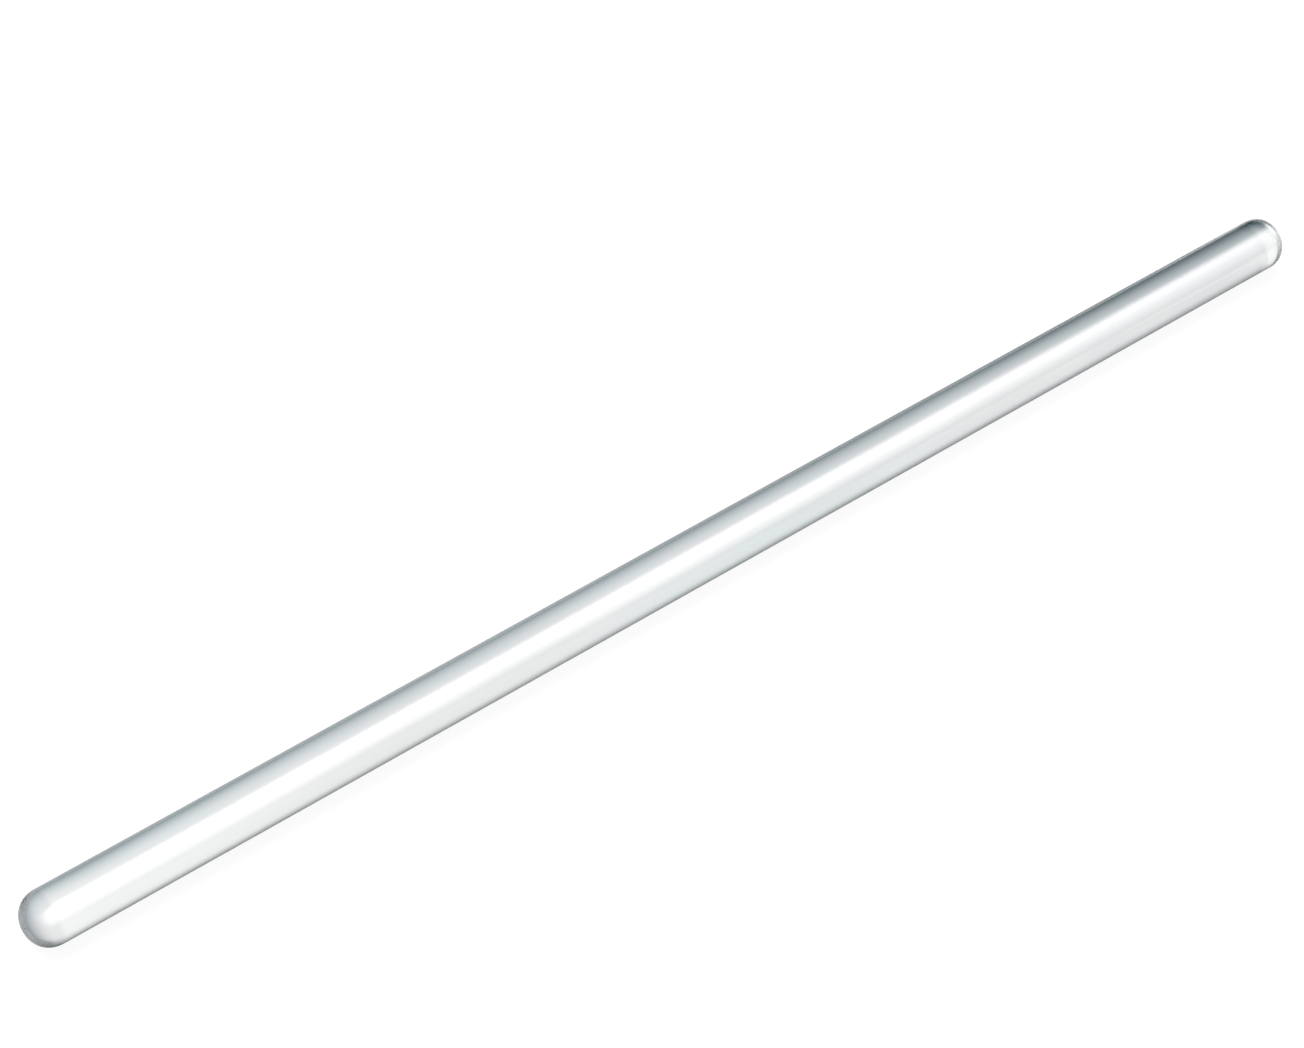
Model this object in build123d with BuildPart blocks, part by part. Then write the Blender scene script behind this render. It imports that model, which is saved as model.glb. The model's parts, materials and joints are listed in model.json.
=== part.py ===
from build123d import *
from math import asin, degrees
import os

# A glass stirring rod: one straight length of solid drawn glass, both ends melted round in a flame.
# It lies along X with the middle of its length at the origin.
# The rounder end, which stirs, points to -X, and the flatter plain end to +X.

# Driving dimensions, in millimetres
rod_length = 200.0
rod_diameter = 7.0
stirring_end_height = 2.9
stirring_end_edge_radius = 2.1
plain_end_height = 2.6
plain_end_edge_radius = 1.6

# The straight shank runs between the two rounded ends
rod_radius = rod_diameter / 2
shank_start = stirring_end_height - rod_length / 2
shank_stop = rod_length / 2 - plain_end_height


def rounded_end(shank_edge, height, edge_radius, outward):
    """Section of an end that a flame has rounded: a tight arc at the edge runs into a wide crown.

    outward is 1 for the end that faces +X and -1 for the one that faces -X.
    """
    crown_radius = (height**2 + rod_radius**2 - 2 * rod_radius * edge_radius) / (2 * (height - edge_radius))
    crown_half_angle = degrees(asin((rod_radius - edge_radius) / (crown_radius - edge_radius)))
    edge = JernArc(
        start=(shank_edge, rod_radius),
        tangent=(outward, 0),
        radius=edge_radius,
        arc_size=-outward * (90 - crown_half_angle),
    )
    TangentArc(edge @ 1, (shank_edge + outward * height, 0), tangent=edge % 1)


# Upper half of the lengthwise section, turned once round the rod's own axis
with BuildPart() as glass_rod:
    with BuildSketch(Plane.XZ):
        with BuildLine():
            Line((-rod_length / 2, 0), (rod_length / 2, 0))
            rounded_end(shank_stop, plain_end_height, plain_end_edge_radius, 1)
            Line((shank_stop, rod_radius), (shank_start, rod_radius))
            rounded_end(shank_start, stirring_end_height, stirring_end_edge_radius, -1)
        make_face()
    revolve(axis=Axis.X)
glass_rod.part.label = "glass_rod"

os.makedirs("parts", exist_ok=True)
export_step(glass_rod.part, "parts/glass_rod.step")
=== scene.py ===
import json
import math

import bpy
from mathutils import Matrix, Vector


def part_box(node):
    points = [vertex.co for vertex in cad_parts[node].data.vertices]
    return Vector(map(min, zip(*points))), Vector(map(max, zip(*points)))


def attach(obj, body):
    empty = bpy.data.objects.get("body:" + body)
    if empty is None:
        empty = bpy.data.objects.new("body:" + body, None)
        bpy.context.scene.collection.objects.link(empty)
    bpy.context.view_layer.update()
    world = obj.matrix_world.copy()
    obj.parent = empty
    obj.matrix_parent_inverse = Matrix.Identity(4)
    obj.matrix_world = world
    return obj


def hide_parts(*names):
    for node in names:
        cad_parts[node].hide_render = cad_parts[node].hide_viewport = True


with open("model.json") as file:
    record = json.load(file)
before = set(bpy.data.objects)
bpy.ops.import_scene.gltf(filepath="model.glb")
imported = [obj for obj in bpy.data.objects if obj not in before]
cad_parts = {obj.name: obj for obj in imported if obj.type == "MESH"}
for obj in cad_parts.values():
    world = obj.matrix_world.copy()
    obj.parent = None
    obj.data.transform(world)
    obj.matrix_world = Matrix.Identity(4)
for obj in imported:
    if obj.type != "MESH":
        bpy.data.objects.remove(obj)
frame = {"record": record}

MM = 0.001
WHITE = (1.0, 1.0, 1.0, 1.0)

# The photograph's camera, in the rod's frame, in metres and degrees, with no roll and no shift
CAMERA_PLACE = (-0.254073, -0.296459, 0.348620)
CAMERA_HEADING = 50.3708
CAMERA_DOWN = 41.3956
FOCAL_PIXELS = 4240.82
PICTURE_WIDTH = 1304
SENSOR_WIDTH_MM = 36.0
CAMERA_CLIP = (0.01, 50.0)

# How often light may bounce, because the glass guides some of it along the whole rod
LIGHT_BOUNCES = 96

# The rod's sizes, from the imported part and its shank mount
ROD_LOW, ROD_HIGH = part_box("glass_rod")
SHANK = next(mount for mount in frame["record"]["mounts"] if mount["name"] == "shank")
ROD_RADIUS = SHANK["dims"]["r_mm"] * MM

# The two ends' sections: (along / height) ^ along power + (out / radius) ^ out power = 1
ENDS = {
    "Stirring end": {"height": 3.6 * MM, "along power": 2.4, "out power": 2.0},
    "Plain end": {"height": 3.2 * MM, "along power": 2.4, "out power": 2.1},
}

# How finely the glass is divided, in rings along it and facets round it, and how near points are welded
END_RINGS = 28
SHANK_RINGS = 96
FACETS_ROUND = 160
WELD_DISTANCE = 0.01 * MM

# The glass: its colour at the skin, in its streaks and through its depth, and its roughness
GLASS_IOR = 1.515
GLASS_TINT = (0.987, 0.99, 0.99, 1.0)
GLASS_TINT_IN_STREAKS = (0.915, 0.935, 0.935, 1.0)
DEPTH_COLOUR = (0.3, 0.38, 0.37, 1.0)
DEPTH_DENSITY = 0.7
CLEAN_ROUGHNESS = 0.02
SMUDGE_ROUGHNESS = 0.09
END_ROUGHNESS = 0.11

# The marks of drawing and wiping: repeats a metre along the rod and across it, and detail
STREAKS = {"along": 30.0, "across": 330.0, "detail": 2.0}
DRAW_LINES = {"along": 12.0, "across": 1500.0, "detail": 2.0}
WAVES = {"along": 45.0, "across": 180.0, "detail": 1.0}
SMUDGES = {"along": 70.0, "across": 160.0, "detail": 4.0}

# How strong the marks are: where each noise turns into a mark, and how high the relief stands
STREAK_RANGE = (0.45, 0.72)
SMUDGE_RANGE = (0.5, 0.75)
DRAW_LINE_HEIGHT = 0.004 * MM
WAVE_HEIGHT = 0.03 * MM

# How far from the middle the flame has wiped the draw marks off, and how far it has left them whole
FLAME_POLISH = (97.0 * MM, 91.0 * MM)

# The room as the glass refracts it: a bright field with a dark -Y side, as on a bright-field light stand
FIELD_DARK = (0.0, 0.078, 0.105, 1.0)
FIELD_BRIGHT = (0.88, 0.88, 0.885, 1.0)
# an edge is a direction, and the two values of the dot product with it between which the room changes
FIELD_EDGE = ((0.195, 0.942, 0.271), -1.01, 0.355)
# the field is brightest away from the plain end
FIELD_BRIGHTEST = (0.99, 0.99, 0.99, 1.0)
FIELD_BRIGHTEST_EDGE = ((1.0, 0.0, 0.0), 0.42, 0.33)
# past the dark side, straight towards -Y, this share of it is bright again
FIELD_BACK_SHARE = 0.8
FIELD_BACK_EDGE = ((0.0, -1.0, 0.0), 0.2, 0.83)
# dusk closes the field past the plain end
FIELD_END = (0.05, 0.1, 0.15, 1.0)
FIELD_END_EDGE = ((1.0, 0.0, 0.0), 0.52, 1.3)
# a grey wall stands above the horizon, darker on the -Y side
FIELD_WALL = (0.48, 0.51, 0.515, 1.0)
FIELD_WALL_BEHIND = (0.25, 0.28, 0.285, 1.0)
FIELD_WALL_EDGE = ((0.0, 1.0, 0.0), -0.2, 0.6)
FIELD_HORIZON = ((0.0, 0.0, -1.0), -0.42, 0.15)
# a bright panel faces the stirring end
FIELD_NEAR = (1.08, 1.08, 1.08, 1.0)
FIELD_NEAR_EDGE = ((-1.0, 0.0, 0.0), 0.4, 0.8)

# Faint casts on the field: a cool one towards its dark side, and a green one low on the middle of the rod
COOL_CAST = (0.945, 0.985, 1.0, 1.0)
COOL_CAST_EDGE = ((0.0, 1.0, 0.0), 0.45, 0.1)
GREEN_CAST = (0.95, 1.0, 1.0, 1.0)
GREEN_CAST_START = ((1.0, 0.0, 0.0), 0.445, 0.49)
GREEN_CAST_STOP = ((1.0, 0.0, 0.0), 0.56, 0.49)
GREEN_CAST_SIDE = ((0.0, 1.0, 0.0), 0.66, 0.8)

# The painted shade under the rod, which the glass shows on the floor: where it sets in along the rod and
# where it ends across
SHADE_COLOUR = (0.02, 0.08, 0.11, 1.0)
SHADE_ALONG = (-50.0 * MM, 167.0 * MM)
SHADE_AT_TIP = (94.0 * MM, 99.0 * MM)
SHADE_ACROSS = (3.5 * MM, 1.85 * MM)

# The room as the glass mirrors it: a dull room, and a feathered softbox over the rod's -Y side
MIRRORED_ROOM = (0.03, 0.045, 0.045, 1.0)
SOFTBOX_GLOW = (10.5, 10.5, 10.5, 1.0)
SOFTBOX_LOW_EDGE = ((-0.506, 0.762, 0.648), -1.12, 0.38)
SOFTBOX_HIGH_EDGE = ((0.13, -0.762, -0.648), -0.616, -0.2)
SOFTBOX_FRONT_EDGE = ((0.0, -0.648, 0.762), 0.0, 0.15)
SOFTBOX_NEAR_EDGE = ((1.0, 0.0, 0.0), -1.2, 0.29)
SOFTBOX_FOOT_EDGE = ((0.0, 0.0, 1.0), -0.05, 0.35)

# The floor: its half width, its colour as light meets it, and what the glass and the camera see of it
FLOOR_REACH = 12.0
FLOOR_COLOUR = 0.9
# the floor as the glass mirrors it: a painted reflection in grey, painted brighter past the rod's plain end
MIRRORED_FLOOR = 0.35
MIRRORED_FLOOR_PAST_ROD = 0.9
ROD_PASSED = (98.0 * MM, 103.0 * MM)
FLOOR_TO_CAMERA = 0.15
FLOOR_GLOW_TO_CAMERA = 0.93

# The light on the floor: the room's own and a lamp's, whose rise is in degrees from the -Y side
ROOM_LIGHT = (0.5, 0.5, 0.5, 1.0)
LAMP_SIZE = (1.2, 0.6)
LAMP_RADIANCE = 4.0
LAMP_DISTANCE = 1.0
LAMP_RISE = 105.0

# Where nodes are placed in their tree, for whoever opens the file: a step across and down, and how many a row
NODE_STEP = (180, -220)
NODES_IN_ROW = 12


class NodeBench:
    """Places nodes in a tree from left to right and links them, so that a formula reads as one."""

    def __init__(self, tree):
        self.tree = tree
        self.placed = 0

    def node(self, kind, values=(), **settings):
        """A new node with its settings, and values for some of its inputs: a socket to link or a constant."""
        made = self.tree.nodes.new(kind)
        row, column = divmod(self.placed, NODES_IN_ROW)
        made.location = (NODE_STEP[0] * column, NODE_STEP[1] * row)
        self.placed += 1
        for name, value in settings.items():
            setattr(made, name, value)
        for key, value in dict(values).items():
            self.feed(made.inputs[key], value)
        return made

    def feed(self, socket, value):
        """Links value to the socket if it is a socket itself, and sets it as the socket's constant if not."""
        if isinstance(value, bpy.types.NodeSocket):
            self.tree.links.new(value, socket)
        else:
            socket.default_value = value

    def maths(self, operation, *values):
        """One Math node on up to three numbers."""
        made = self.node("ShaderNodeMath", operation=operation)
        for socket, value in zip(made.inputs, values):
            self.feed(socket, value)
        return made.outputs[0]

    def rise(self, value, between, reach=(0.0, 1.0)):
        """Runs smoothly over the two numbers of reach as the value runs over the two of between."""
        values = {
            "Value": value,
            "From Min": between[0],
            "From Max": between[1],
            "To Min": reach[0],
            "To Max": reach[1],
        }
        return self.node("ShaderNodeMapRange", values, interpolation_type="SMOOTHSTEP").outputs[0]

    def mix(self, share, first, second, blend="MIX"):
        """A Mix node in colour mode takes its colours in inputs 6 and 7 and puts out its third output."""
        values = {0: share, 6: first, 7: second}
        return self.node("ShaderNodeMix", values, data_type="RGBA", blend_type=blend).outputs[2]

    def choose(self, condition, if_false, if_true):
        """A Switch between two numbers."""
        values = {"Switch": condition, "False": if_false, "True": if_true}
        return self.node("GeometryNodeSwitch", values, input_type="FLOAT").outputs[0]

    def less(self, first, second):
        """True where the first number is less than the second."""
        made = self.node("FunctionNodeCompare", data_type="FLOAT", operation="LESS_THAN")
        self.feed(made.inputs[0], first)
        self.feed(made.inputs[1], second)
        return made.outputs[0]


def add_sockets(tree, direction, sockets):
    """Gives a tree's interface its named sockets."""
    for name, kind in sockets:
        tree.interface.new_socket(name, in_out=direction, socket_type=kind)


def end_section_group():
    """Node group: the section of a flame-rounded end, which has no crease where it runs into the shank.

    Share runs from 0 where the straight shank stops to 1 at the tip. Along is the distance past the shank,
    Out the distance from the rod's axis.
    """
    tree = bpy.data.node_groups.new("rounded end section", "GeometryNodeTree")
    numbers = ("Share", "Radius", "Height", "Along power", "Out power")
    add_sockets(tree, "INPUT", [(name, "NodeSocketFloat") for name in numbers])
    add_sockets(tree, "OUTPUT", [(name, "NodeSocketFloat") for name in ("Along", "Out")])
    bench = NodeBench(tree)
    given = bench.node("NodeGroupInput")
    share, radius, height, along_power, out_power = [given.outputs[name] for name in numbers]
    maths = bench.maths
    # the angle falls from a right angle at the shank to nothing at the tip
    angle = maths("MULTIPLY", maths("SUBTRACT", 1.0, share), math.pi / 2)

    def reach(size, wave, power):
        """The size times a sine or cosine raised to 2 / power, never below nothing."""
        raised = maths("POWER", maths("MAXIMUM", wave, 0.0), maths("DIVIDE", 2.0, power))
        return maths("MULTIPLY", size, raised)

    result = bench.node("NodeGroupOutput")
    bench.feed(result.inputs["Along"], reach(height, maths("COSINE", angle), along_power))
    bench.feed(result.inputs["Out"], reach(radius, maths("SINE", angle), out_power))
    return tree


def rod_tree():
    """Geometry node tree: the whole rod as one closed skin, turned from its section.

    A grid of rings by facets is bent round the axis. Its first rings make the stirring end, its last ones
    the plain end. The seam and the two tips are welded, and the UV map holds rings along and facets round.
    """
    tree = bpy.data.node_groups.new("drawn rod", "GeometryNodeTree")
    add_sockets(tree, "INPUT", [("Geometry", "NodeSocketGeometry")])
    numbers = ["Shank start", "Shank stop", "Radius"]
    numbers += [name + " " + size for name, end in ENDS.items() for size in end]
    add_sockets(tree, "INPUT", [(name, "NodeSocketFloat") for name in numbers])
    counts = ("End rings", "Shank rings", "Facets round")
    add_sockets(tree, "INPUT", [(name, "NodeSocketInt") for name in counts])
    add_sockets(tree, "INPUT", [("Material", "NodeSocketMaterial")])
    add_sockets(tree, "OUTPUT", [("Geometry", "NodeSocketGeometry")])
    bench = NodeBench(tree)
    maths = bench.maths
    given = bench.node("NodeGroupInput").outputs
    end_rings, shank_rings, facets = [given[name] for name in counts]
    all_rings = maths("ADD", maths("MULTIPLY", end_rings, 2.0), shank_rings)
    grid = bench.node(
        "GeometryNodeMeshGrid",
        {
            "Size X": 1.0,
            "Size Y": 1.0,
            "Vertices X": maths("ADD", all_rings, 1.0),
            "Vertices Y": maths("ADD", facets, 1.0),
        },
    )
    # the grid reaches half a metre each way from its middle, so adding a half gives shares from 0 to 1
    position = bench.node("GeometryNodeInputPosition").outputs[0]
    place = bench.node("ShaderNodeSeparateXYZ", {"Vector": position}).outputs
    ring = maths("ROUND", maths("MULTIPLY", maths("ADD", place["X"], 0.5), all_rings))
    # the facets run clockwise seen from the plain end, so that the skin faces outwards
    angle = maths("MULTIPLY", maths("ADD", place["Y"], 0.5), -2 * math.pi)
    # where each ring lies along the rod, and how far out
    past_shank = maths("SUBTRACT", ring, maths("ADD", end_rings, shank_rings))
    shares = {
        "Stirring end": maths("SUBTRACT", 1.0, maths("DIVIDE", ring, end_rings)),
        "Plain end": maths("DIVIDE", past_shank, end_rings),
    }
    section = end_section_group()
    ends = {}
    for name, end in ENDS.items():
        values = {size.capitalize(): given[name + " " + size] for size in end}
        values.update({"Share": shares[name], "Radius": given["Radius"]})
        ends[name] = bench.node("GeometryNodeGroup", node_tree=section)
        for socket, value in values.items():
            bench.feed(ends[name].inputs[socket], value)
    shank_share = maths("DIVIDE", maths("SUBTRACT", ring, end_rings), shank_rings)
    shank_span = maths("SUBTRACT", given["Shank stop"], given["Shank start"])
    shank_along = maths("MULTIPLY_ADD", shank_share, shank_span, given["Shank start"])
    stir_along = maths("SUBTRACT", given["Shank start"], ends["Stirring end"].outputs["Along"])
    plain_along = maths("ADD", given["Shank stop"], ends["Plain end"].outputs["Along"])
    on_stir = bench.less(ring, end_rings)
    on_plain = bench.less(0.0, past_shank)
    along = bench.choose(on_plain, bench.choose(on_stir, shank_along, stir_along), plain_along)
    out = bench.choose(
        on_plain,
        bench.choose(on_stir, given["Radius"], ends["Stirring end"].outputs["Out"]),
        ends["Plain end"].outputs["Out"],
    )
    bent = bench.node(
        "ShaderNodeCombineXYZ",
        {
            "X": along,
            "Y": maths("MULTIPLY", out, maths("COSINE", angle)),
            "Z": maths("MULTIPLY", out, maths("SINE", angle)),
        },
    )
    kept_uv = bench.node(
        "GeometryNodeStoreNamedAttribute",
        {"Geometry": grid.outputs["Mesh"], "Name": "rod_skin", "Value": grid.outputs["UV Map"]},
        data_type="FLOAT2",
        domain="CORNER",
    )
    skin = bench.node(
        "GeometryNodeSetPosition", {"Geometry": kept_uv.outputs[0], "Position": bent.outputs[0]}
    )
    welded = bench.node(
        "GeometryNodeMergeByDistance", {"Geometry": skin.outputs[0], "Distance": WELD_DISTANCE}
    )
    smooth = bench.node("GeometryNodeSetShadeSmooth", {"Geometry": welded.outputs[0]})
    whole = bench.node("GeometryNodeRealizeInstances", {"Geometry": smooth.outputs[0]})
    finish = bench.node(
        "GeometryNodeSetMaterial", {"Geometry": whole.outputs[0], "Material": given["Material"]}
    )
    bench.node("NodeGroupOutput", {"Geometry": finish.outputs[0]})
    return tree


def make_rod(material):
    """The rod's own skin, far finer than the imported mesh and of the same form, as a plain mesh."""
    tree = rod_tree()
    holder = bpy.data.objects.new("rod maker", bpy.data.meshes.new("rod maker"))
    bpy.context.scene.collection.objects.link(holder)
    modifier = holder.modifiers.new("drawn rod", "NODES")
    modifier.node_group = tree
    values = {
        "Shank start": ROD_LOW.x + ENDS["Stirring end"]["height"],
        "Shank stop": ROD_HIGH.x - ENDS["Plain end"]["height"],
        "Radius": ROD_RADIUS,
        "End rings": END_RINGS,
        "Shank rings": SHANK_RINGS,
        "Facets round": FACETS_ROUND,
        "Material": material,
    }
    values.update({name + " " + size: value for name, end in ENDS.items() for size, value in end.items()})
    for socket in tree.interface.items_tree:
        if socket.in_out == "INPUT" and socket.name in values:
            modifier[socket.identifier] = values[socket.name]
    evaluated = holder.evaluated_get(bpy.context.evaluated_depsgraph_get())
    mesh = bpy.data.meshes.new_from_object(evaluated)
    mesh.name = "stirring_rod"
    mesh.materials.clear()
    mesh.materials.append(material)
    mesh.polygons.foreach_set("material_index", [0] * len(mesh.polygons))
    bpy.data.objects.remove(holder)
    rod = bpy.data.objects.new("stirring_rod", mesh)
    bpy.context.scene.collection.objects.link(rod)
    return rod


def glass_material():
    """Clear drawn glass: faint tinted streaks, fine draw lines, a slight waviness and a few wiped smudges.

    The flame has wiped the streaks, lines and waves off the two ends and left them a little softer.
    """
    material = bpy.data.materials.new("drawn_clear_glass")
    material.use_nodes = True
    tree = material.node_tree
    tree.nodes.clear()
    bench = NodeBench(tree)
    place = bench.node("ShaderNodeTexCoord").outputs["Object"]

    def pattern(marks):
        """Noise over the rod's own coordinates, with a scale of its own along the rod and across it."""
        scale = (marks["along"], marks["across"], marks["across"])
        stretched = bench.node("ShaderNodeMapping", {"Vector": place, "Scale": scale}).outputs[0]
        values = {"Vector": stretched, "Scale": 1.0, "Detail": marks["detail"]}
        return bench.node("ShaderNodeTexNoise", values).outputs["Fac"]

    from_middle = bench.maths("ABSOLUTE", bench.node("ShaderNodeSeparateXYZ", {"Vector": place}).outputs["X"])
    drawn = bench.rise(from_middle, FLAME_POLISH)
    lines = bench.maths("MULTIPLY", pattern(DRAW_LINES), drawn)
    waves = bench.maths("MULTIPLY", pattern(WAVES), drawn)
    streaks = bench.maths("MULTIPLY", bench.rise(pattern(STREAKS), STREAK_RANGE), drawn)
    smudged = bench.rise(pattern(SMUDGES), SMUDGE_RANGE, (CLEAN_ROUGHNESS, SMUDGE_ROUGHNESS))
    flamed = bench.maths("MULTIPLY", bench.maths("SUBTRACT", 1.0, drawn), END_ROUGHNESS)
    roughness = bench.maths("MAXIMUM", smudged, flamed)
    tint = bench.mix(streaks, GLASS_TINT, GLASS_TINT_IN_STREAKS)
    wavy = bench.node("ShaderNodeBump", {"Height": waves, "Strength": 1.0, "Distance": WAVE_HEIGHT})
    relief = bench.node(
        "ShaderNodeBump",
        {"Height": lines, "Strength": 1.0, "Distance": DRAW_LINE_HEIGHT, "Normal": wavy.outputs[0]},
    )
    shader = bench.node(
        "ShaderNodeBsdfPrincipled",
        {
            "Base Color": tint,
            "Roughness": roughness,
            "IOR": GLASS_IOR,
            "Transmission Weight": 1.0,
            "Normal": relief.outputs[0],
        },
    )
    depth = bench.node("ShaderNodeVolumeAbsorption", {"Color": DEPTH_COLOUR, "Density": DEPTH_DENSITY})
    bench.node("ShaderNodeOutputMaterial", {"Surface": shader.outputs[0], "Volume": depth.outputs[0]})
    return material


def make_floor():
    """A wide plain white floor that the rod lies on.

    The camera sees it as white, with a soft shadow. The glass looks through it at the bright field, past a
    shade painted on it under the rod.
    """
    height = ROD_LOW.z
    corners = [(x * FLOOR_REACH, y * FLOOR_REACH, height) for x, y in ((-1, -1), (1, -1), (1, 1), (-1, 1))]
    mesh = bpy.data.meshes.new("floor")
    mesh.from_pydata(corners, [], [(0, 1, 2, 3)])
    floor = bpy.data.objects.new("floor", mesh)
    bpy.context.scene.collection.objects.link(floor)
    material = bpy.data.materials.new("pale_floor")
    material.use_nodes = True
    tree = material.node_tree
    tree.nodes.clear()
    bench = NodeBench(tree)
    rays = bench.node("ShaderNodeLightPath").outputs
    place = bench.node("ShaderNodeTexCoord").outputs["Object"]
    along, across, _ = bench.node("ShaderNodeSeparateXYZ", {"Vector": place}).outputs
    # the camera's own rays and mirrored rays meet greys of their own, and other light meets the white floor;
    # the mirrored grey is a painted reflection, painted brighter past the rod's plain end
    mirrored = bench.rise(along, ROD_PASSED, (MIRRORED_FLOOR, MIRRORED_FLOOR_PAST_ROD))
    colour = FLOOR_COLOUR
    for ray, seen in (("Is Camera Ray", FLOOR_TO_CAMERA), ("Is Glossy Ray", mirrored)):
        change = bench.maths("SUBTRACT", seen, FLOOR_COLOUR)
        colour = bench.maths("MULTIPLY_ADD", rays[ray], change, colour)
    matt = bench.node("ShaderNodeBsdfDiffuse", {"Color": colour})
    # a glow that only the camera sees brings its grey up to white
    glow_strength = bench.maths("MULTIPLY", rays["Is Camera Ray"], FLOOR_GLOW_TO_CAMERA)
    glow = bench.node("ShaderNodeEmission", {"Strength": glow_strength})
    lit = bench.node("ShaderNodeAddShader", {0: matt.outputs[0], 1: glow.outputs[0]})
    # rays through the glass pass the floor, darkened by a shade painted on it under the rod
    shaded_length = bench.maths("MAXIMUM", bench.rise(along, SHADE_ALONG), bench.rise(along, SHADE_AT_TIP))
    shaded_width = bench.rise(bench.maths("ABSOLUTE", across), SHADE_ACROSS)
    shade = bench.mix(bench.maths("MULTIPLY", shaded_length, shaded_width), WHITE, SHADE_COLOUR)
    clear = bench.node("ShaderNodeBsdfTransparent", {"Color": shade})
    through = bench.node(
        "ShaderNodeMixShader", {0: rays["Is Transmission Ray"], 1: lit.outputs[0], 2: clear.outputs[0]}
    )
    bench.node("ShaderNodeOutputMaterial", {"Surface": through.outputs[0]})
    mesh.materials.append(material)


def make_world():
    """The studio round the rod: plain light, white to the camera, and what clear glass shows of it."""
    world = bpy.data.worlds.new("studio")
    bpy.context.scene.world = world
    world.use_nodes = True
    tree = world.node_tree
    bench = NodeBench(tree)
    back = tree.nodes["Background"]
    direction = bench.node("ShaderNodeTexCoord").outputs["Generated"]
    rays = bench.node("ShaderNodeLightPath").outputs

    def edge(settings):
        """Runs smoothly from 0 to 1 between two values of the direction's dot product with a vector."""
        towards, start, stop = settings
        product = bench.node("ShaderNodeVectorMath", {0: direction, 1: towards}, operation="DOT_PRODUCT")
        return bench.rise(product.outputs["Value"], (start, stop))

    def both(first, second):
        """The product of two shares, which is 1 only where both are."""
        return bench.maths("MULTIPLY", first, second)

    mix = bench.mix
    bright = mix(edge(FIELD_BRIGHTEST_EDGE), FIELD_BRIGHT, FIELD_BRIGHTEST)
    green = both(both(edge(GREEN_CAST_START), edge(GREEN_CAST_STOP)), edge(GREEN_CAST_SIDE))
    bright = mix(green, bright, GREEN_CAST, "MULTIPLY")
    bright = mix(edge(COOL_CAST_EDGE), bright, COOL_CAST, "MULTIPLY")
    field = mix(edge(FIELD_EDGE), FIELD_DARK, bright)
    field = mix(both(edge(FIELD_BACK_EDGE), FIELD_BACK_SHARE), field, FIELD_BRIGHT)
    field = mix(edge(FIELD_END_EDGE), field, FIELD_END)
    wall = mix(edge(FIELD_WALL_EDGE), FIELD_WALL_BEHIND, FIELD_WALL)
    field = mix(edge(FIELD_HORIZON), wall, field)
    field = mix(edge(FIELD_NEAR_EDGE), field, FIELD_NEAR)
    across = both(edge(SOFTBOX_LOW_EDGE), edge(SOFTBOX_HIGH_EDGE))
    along = both(edge(SOFTBOX_FRONT_EDGE), edge(SOFTBOX_NEAR_EDGE))
    softbox = both(both(across, along), edge(SOFTBOX_FOOT_EDGE))
    mirrored = mix(softbox, MIRRORED_ROOM, SOFTBOX_GLOW)
    # a ray through the glass counts as a glossy one too, so its field comes after the mirrored room
    room = mix(rays["Is Glossy Ray"], ROOM_LIGHT, mirrored)
    room = mix(rays["Is Transmission Ray"], room, field)
    room = mix(rays["Is Camera Ray"], room, WHITE)
    bench.feed(back.inputs["Color"], room)


def make_lamp():
    """A large lamp over the rod, which gives the floor its soft shadow and isn't seen in the glass."""
    light = bpy.data.lights.new("overhead_lamp", "AREA")
    light.shape = "RECTANGLE"
    light.size, light.size_y = LAMP_SIZE
    light.energy = LAMP_RADIANCE * math.pi * light.size * light.size_y
    lamp = bpy.data.objects.new("overhead_lamp", light)
    bpy.context.scene.collection.objects.link(lamp)
    rise = math.radians(LAMP_RISE)
    from_rod = Vector((0.0, -math.cos(rise), math.sin(rise)))
    lamp.location = from_rod * LAMP_DISTANCE
    lamp.rotation_mode = "QUATERNION"
    lamp.rotation_quaternion = from_rod.to_track_quat("Z", "Y")
    lamp.visible_camera = False
    lamp.visible_glossy = False
    lamp.visible_transmission = False


def make_camera():
    """The photograph's camera."""
    data = bpy.data.cameras.new("camera")
    data.sensor_width = SENSOR_WIDTH_MM
    data.lens = FOCAL_PIXELS / PICTURE_WIDTH * SENSOR_WIDTH_MM
    data.clip_start, data.clip_end = CAMERA_CLIP
    camera = bpy.data.objects.new("camera", data)
    heading = math.radians(CAMERA_HEADING)
    down = math.radians(CAMERA_DOWN)
    ahead = Vector((math.cos(heading) * math.cos(down), math.sin(heading) * math.cos(down), -math.sin(down)))
    camera.location = CAMERA_PLACE
    camera.rotation_mode = "QUATERNION"
    camera.rotation_quaternion = ahead.to_track_quat("-Z", "Y")
    bpy.context.scene.collection.objects.link(camera)
    bpy.context.scene.camera = camera


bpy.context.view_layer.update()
scene = bpy.context.scene
scene.view_settings.view_transform = "Standard"
scene.cycles.caustics_refractive = False
scene.cycles.caustics_reflective = False
scene.cycles.max_bounces = LIGHT_BOUNCES
scene.cycles.transmission_bounces = LIGHT_BOUNCES
scene.cycles.glossy_bounces = LIGHT_BOUNCES
make_camera()
make_floor()
make_world()
make_lamp()
rod = make_rod(glass_material())
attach(rod, "root")
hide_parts("glass_rod")
